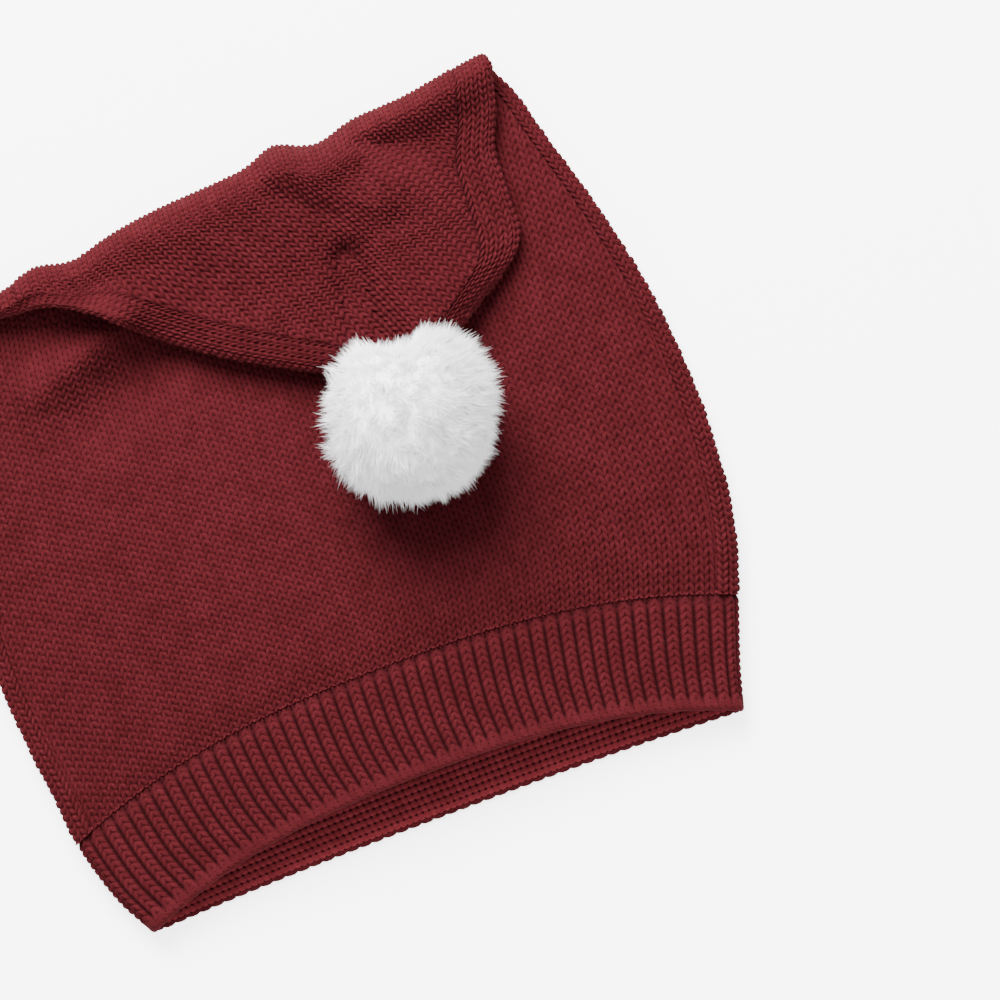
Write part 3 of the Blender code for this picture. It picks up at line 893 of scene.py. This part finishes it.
def combed_strands(settings, chance):
    """Points at the root, middle and tip of each strand. The strands of a tuft lean together."""
    centre, size = pompom_place()
    tufts, each = sphere_points(settings.tufts), settings.strands
    spread = 1.9 * math.sqrt(math.pi / settings.tufts)
    swirl = chance.normal(0, 0.16, tufts.shape)
    root = np.repeat(tufts, each, axis=0)
    root = unit(root + chance.normal(0, spread * 0.6, root.shape))
    tip = np.repeat(tufts + swirl + PILE_LEAN, each, axis=0) + chance.normal(0, 0.05, root.shape)
    tip = unit(unit(tip) * 0.54 + root * 0.46)
    reach = np.repeat(chance.normal(TIP_SHARE, 0.036, settings.tufts), each)
    reach = reach + chance.normal(0, 0.03, len(root))
    base = centre + root * size * ROOT_SHARE * parted(root)[:, None]
    half_way = root * 0.55 + tip * 0.45
    half_reach = (ROOT_SHARE / 2 + reach * 0.5) * parted(half_way)
    middle = centre + half_way * size * half_reach[:, None]
    end = centre + tip * size * (reach * parted(tip))[:, None]
    return np.stack([base, middle, end], axis=1)


def strand_corners(points, width, chance):
    """Corners of each strand: a triangle at its root, one at its middle, and its tip."""
    direction = unit(points[:, 2] - points[:, 0])
    side = unit(np.cross(direction, chance.normal(size=direction.shape)))
    other = np.cross(direction, side)
    rings = []
    for level, share in ((0, 1.0), (1, 0.85)):
        for turn in (0, 2 * math.pi / 3, 4 * math.pi / 3):
            out = side * math.cos(turn) + other * math.sin(turn)
            rings.append(points[:, level] + out * (width / 2) * share)
    return np.stack(rings + [points[:, 2]], axis=1)


# Corners 0 to 2 of a strand are at its root, 3 to 5 at its middle, and 6 is its tip.
STRAND_FACES = [
    (0, 1, 4), (0, 4, 3), (1, 2, 5), (1, 5, 4), (2, 0, 3), (2, 3, 5), (3, 4, 6), (4, 5, 6), (5, 3, 6),
]


def make_pile(settings, look):
    """The pompom's tufts of tapered strands, combed out of its core and lying on the crown."""
    chance = np.random.default_rng(23)
    points = combed_strands(settings, chance)
    tree = surface_tree("crown")
    floor = np.array([top_of(tree, x, y) for x, y in points[:, :, :2].reshape(-1, 2)])
    floor = floor.reshape(points.shape[:2]) + 0.0005
    points[:, :, 2] = np.maximum(points[:, :, 2], floor + np.array([0.0, 0.0003, 0.0006]))
    corners = strand_corners(points, settings.strand_width, chance)
    count = len(corners)
    start = np.arange(count)[:, None] * 7
    faces = np.concatenate([start + np.array([face]) for face in STRAND_FACES])
    # the level up each strand, 0 at its root and 1 at its tip, sets its painted root shade
    level = np.tile(np.array([0, 0, 0, 0.5, 0.5, 0.5, 1.0]), count)
    uv = np.stack([level, np.repeat(chance.random(count), 7)], axis=-1)
    pile = mesh_object("pompom_pile", corners.reshape(-1, 3), faces, uv)
    dress(pile, "pompom", look)


def make_core(look):
    """The body of the pompom under its pile."""
    centre, size = pompom_place()
    turn, polar = np.meshgrid(np.linspace(0, 2 * math.pi, 97), np.linspace(0.0, math.pi, 49))
    direction = np.stack(
        [np.cos(turn) * np.sin(polar), np.sin(turn) * np.sin(polar), np.cos(polar)], axis=-1
    )
    lumps = 1 + 0.02 * np.sin(turn * 11 + np.sin(polar * 7) * 2) * np.sin(polar * 13) * np.sin(polar)
    points = centre + direction * size * CORE_SHARE * (lumps * parted(direction))[..., None]
    tree = surface_tree("crown")
    flat = points.reshape(-1, 3)
    ground = np.array([top_of(tree, x, y) for x, y in flat[:, :2]]) + 0.0006
    flat[:, 2] = np.maximum(flat[:, 2], ground)
    # the core takes the pile's colour a little way up from the roots, with part of their painted
    # shade
    uv = np.stack([np.full(turn.shape, 0.45), polar], axis=-1)
    core = grid_object("pompom_core", points, uv, flip=True)
    dress(core, "pompom", look)


class HatSettings(bpy.types.PropertyGroup):
    wale: bpy.props.FloatProperty(
        name="Wale", description="Width of one plain stitch", default=0.0031,
        unit="LENGTH", precision=5,
    )
    course: bpy.props.FloatProperty(
        name="Course", description="Height of one plain stitch", default=0.00224,
        unit="LENGTH", precision=5,
    )
    slant: bpy.props.FloatProperty(
        name="Slant", description="Rise of a stitch's legs, in courses", default=0.8
    )
    depth: bpy.props.FloatProperty(
        name="Depth", description="Relief of the plain stitches", default=0.0014,
        unit="LENGTH", precision=5,
    )
    rib_course: bpy.props.FloatProperty(
        name="Rib course", description="Height of one stitch of the cuff", default=0.0021,
        unit="LENGTH", precision=5,
    )
    rib_height: bpy.props.FloatProperty(
        name="Rib height", description="Relief of the ribs", default=0.0013,
        unit="LENGTH", precision=5,
    )
    yarn: bpy.props.FloatVectorProperty(
        name="Yarn", description="Colour of the yarn", subtype="COLOR",
        default=(0.0420, 0.0053, 0.0070),
    )
    yarn_pale: bpy.props.FloatVectorProperty(
        name="Pale yarn", description="Colour of its loose fibres", subtype="COLOR",
        default=(0.0590, 0.0082, 0.0106),
    )
    yarn_deep: bpy.props.FloatVectorProperty(
        name="Deep yarn", description="Colour of its darker stretches", subtype="COLOR",
        default=(0.0313, 0.0038, 0.0049),
    )
    # painted shade: the colour given to the gaps between stitches, the cuff's sunk wales and its seam
    painted_gap_shade: bpy.props.FloatVectorProperty(
        name="Gaps", description="Colour between the stitches", subtype="COLOR",
        default=(0.0090, 0.0014, 0.0018),
    )
    # painted light on the cuff's inside: its yarn is brightened to stand in for light reaching into
    # the mouth
    inner_painted_light: bpy.props.FloatProperty(
        name="Inner share", description="How much paler the cuff's inside is than its outside",
        default=2.7,
    )
    pile: bpy.props.FloatVectorProperty(
        name="Pile", description="Colour of the pompom's pile", subtype="COLOR",
        default=(0.86, 0.86, 0.87),
    )
    # painted shade at the roots of the pile
    pile_root_shade: bpy.props.FloatVectorProperty(
        name="Pile roots", description="Colour at the roots of the pile", subtype="COLOR",
        default=(0.70, 0.70, 0.71),
    )
    pile_shade: bpy.props.FloatVectorProperty(
        name="Pile shade", description="Colour of its duller clumps", subtype="COLOR",
        default=(0.78, 0.78, 0.80),
    )
    tufts: bpy.props.IntProperty(name="Tufts", description="Tufts in the pompom", default=900)
    strands: bpy.props.IntProperty(name="Strands", description="Strands in each tuft", default=22)
    strand_width: bpy.props.FloatProperty(
        name="Strand width", description="Thickness of a strand", default=0.00024,
        unit="LENGTH", precision=5,
    )


class StageSettings(bpy.types.PropertyGroup):
    floor: bpy.props.FloatVectorProperty(
        name="Floor", description="Colour of the floor", subtype="COLOR",
        default=(0.92, 0.92, 0.92),
    )
    glow: bpy.props.FloatProperty(
        name="Glow", description="Light that the floor gives off, as a lit sweep does", default=3.1
    )
    sky: bpy.props.FloatProperty(
        name="Sky", description="Strength of the light all round", default=2.02
    )
    lamp: bpy.props.FloatProperty(
        name="Lamp", description="Power of the large soft lamp", default=149.0, unit="POWER"
    )
    distance: bpy.props.FloatProperty(
        name="Distance", description="From the camera to the surface", default=2.0, unit="LENGTH"
    )
    field: bpy.props.FloatProperty(
        name="Field", description="Width that the camera sees there", default=0.3, unit="LENGTH"
    )
    turn: bpy.props.FloatProperty(
        name="Turn", description="Turn of the camera about the upright", default=math.radians(-21.1),
        subtype="ANGLE",
    )


class SANTA_OT_crown(bpy.types.Operator):
    """Knits the body, its edge bands, the fold and the tail"""

    bl_idname = "santa_hat.crown"
    bl_label = "Knit the crown"

    def execute(self, context):
        hat = context.scene.santa_hat
        look = knit_look("plain_knit", hat)
        knit_centre("crown_front", hat, 1, CUFF_TOP, FOLD, 4, 4, look)
        knit_centre("crown_back", hat, 0, CUFF_TOP, 0.98, 3, 3, look)
        knit_centre("tail_top", hat, 0, 0.98, TIP, 6, 6, look)
        knit_centre("tail_under", hat, 1, FOLD, TIP, 2, 2, look)
        edged = knit_look("edge_knit", hat, edged=True)
        knit_band("band_right", hat, 1, 6, 5, edged)
        knit_band("band_left", hat, -1, 6, 5, edged)
        knit_inside(look)
        return {"FINISHED"}


class SANTA_OT_cuff(bpy.types.Operator):
    """Knits the ribbed cuff round the mouth"""

    bl_idname = "santa_hat.cuff"
    bl_label = "Knit the cuff"

    def execute(self, context):
        hat = context.scene.santa_hat
        # the cuff's inside gets a brighter copy of the rib look, as painted light
        inner_painted_light_look = knit_look("rib_knit_inside_painted_light", hat, inner=True)
        knit_cuff(hat, knit_look("rib_knit", hat, ribbed=True), inner_painted_light_look)
        return {"FINISHED"}


class SANTA_OT_pompom(bpy.types.Operator):
    """Makes the pompom's core and its pile"""

    bl_idname = "santa_hat.pompom"
    bl_label = "Make the pompom"

    def execute(self, context):
        hat = context.scene.santa_hat
        look = pile_look("white_pile_strands", hat)
        make_core(look)
        make_pile(hat, look)
        return {"FINISHED"}


class SANTA_OT_stage(bpy.types.Operator):
    """Sets the floor, the soft light and the camera"""

    bl_idname = "santa_hat.stage"
    bl_label = "Set the stage"

    def execute(self, context):
        stage = context.scene.santa_stage
        look = Look("pale_floor")
        look.finish(
            Base_Color=tuple(stage.floor) + (1,), Roughness=0.9, Specular_IOR_Level=0.2,
            Emission_Color=(1.0, 1.0, 1.0, 1.0), Emission_Strength=stage.glow,
        )
        mesh = bpy.data.meshes.new("floor")
        far = FLOOR_REACH
        corners = [(-far, -far, 0), (far, -far, 0), (far, far, 0), (-far, far, 0)]
        mesh.from_pydata(corners, [], [(0, 1, 2, 3)])
        floor = bpy.data.objects.new("floor", mesh)
        mesh.materials.append(look.material)
        context.scene.collection.objects.link(floor)
        world = context.scene.world or bpy.data.worlds.new("studio")
        context.scene.world = world
        world.use_nodes = True
        sky = world.node_tree.nodes["Background"]
        sky.inputs["Color"].default_value = (1.0, 1.0, 1.0, 1.0)
        sky.inputs["Strength"].default_value = stage.sky
        lamp = bpy.data.lights.new("soft_lamp", "AREA")
        lamp.shape = "DISK"
        lamp.size = LAMP_WIDTH
        lamp.energy = stage.lamp
        light = bpy.data.objects.new("soft_lamp", lamp)
        light.location = LAMP_PLACE
        light.rotation_euler = (-light.location).to_track_quat("-Z", "Y").to_euler()
        context.scene.collection.objects.link(light)
        camera = bpy.data.objects.new("camera", bpy.data.cameras.new("camera"))
        camera.data.sensor_width = SENSOR_WIDTH
        camera.data.lens = SENSOR_WIDTH * stage.distance / stage.field
        camera.data.clip_end = 20.0
        aim = Vector((ORIGIN[0] + VIEW_MIDDLE[0], ORIGIN[1] + VIEW_MIDDLE[1], 0.0))
        camera.location = aim + Vector((0, 0, stage.distance + VIEW_LEVEL))
        camera.rotation_euler = (0.0, 0.0, stage.turn)
        context.scene.collection.objects.link(camera)
        context.scene.camera = camera
        return {"FINISHED"}


class SANTA_PT_panel(bpy.types.Panel):
    """The santa hat's sizes, colours and making"""

    bl_label = "Santa hat"
    bl_idname = "SANTA_PT_panel"
    bl_space_type = "VIEW_3D"
    bl_region_type = "UI"
    bl_category = "Santa hat"

    def draw(self, context):
        layout = self.layout
        for operator in (SANTA_OT_stage, SANTA_OT_crown, SANTA_OT_cuff, SANTA_OT_pompom):
            layout.operator(operator.bl_idname)
        for group in (context.scene.santa_hat, context.scene.santa_stage):
            box = layout.box()
            for name in group.bl_rna.properties.keys():
                if name not in ("rna_type", "name"):
                    box.prop(group, name)


CLASSES = (
    HatSettings,
    StageSettings,
    SANTA_OT_crown,
    SANTA_OT_cuff,
    SANTA_OT_pompom,
    SANTA_OT_stage,
    SANTA_PT_panel,
)


def register():
    for each in CLASSES:
        bpy.utils.register_class(each)
    bpy.types.Scene.santa_hat = bpy.props.PointerProperty(type=HatSettings)
    bpy.types.Scene.santa_stage = bpy.props.PointerProperty(type=StageSettings)


def unregister():
    del bpy.types.Scene.santa_hat
    del bpy.types.Scene.santa_stage
    for each in reversed(CLASSES):
        bpy.utils.unregister_class(each)


def main():
    register()
    bpy.ops.santa_hat.stage()
    bpy.ops.santa_hat.crown()
    bpy.ops.santa_hat.cuff()
    bpy.ops.santa_hat.pompom()


if __name__ == "__main__":
    main()
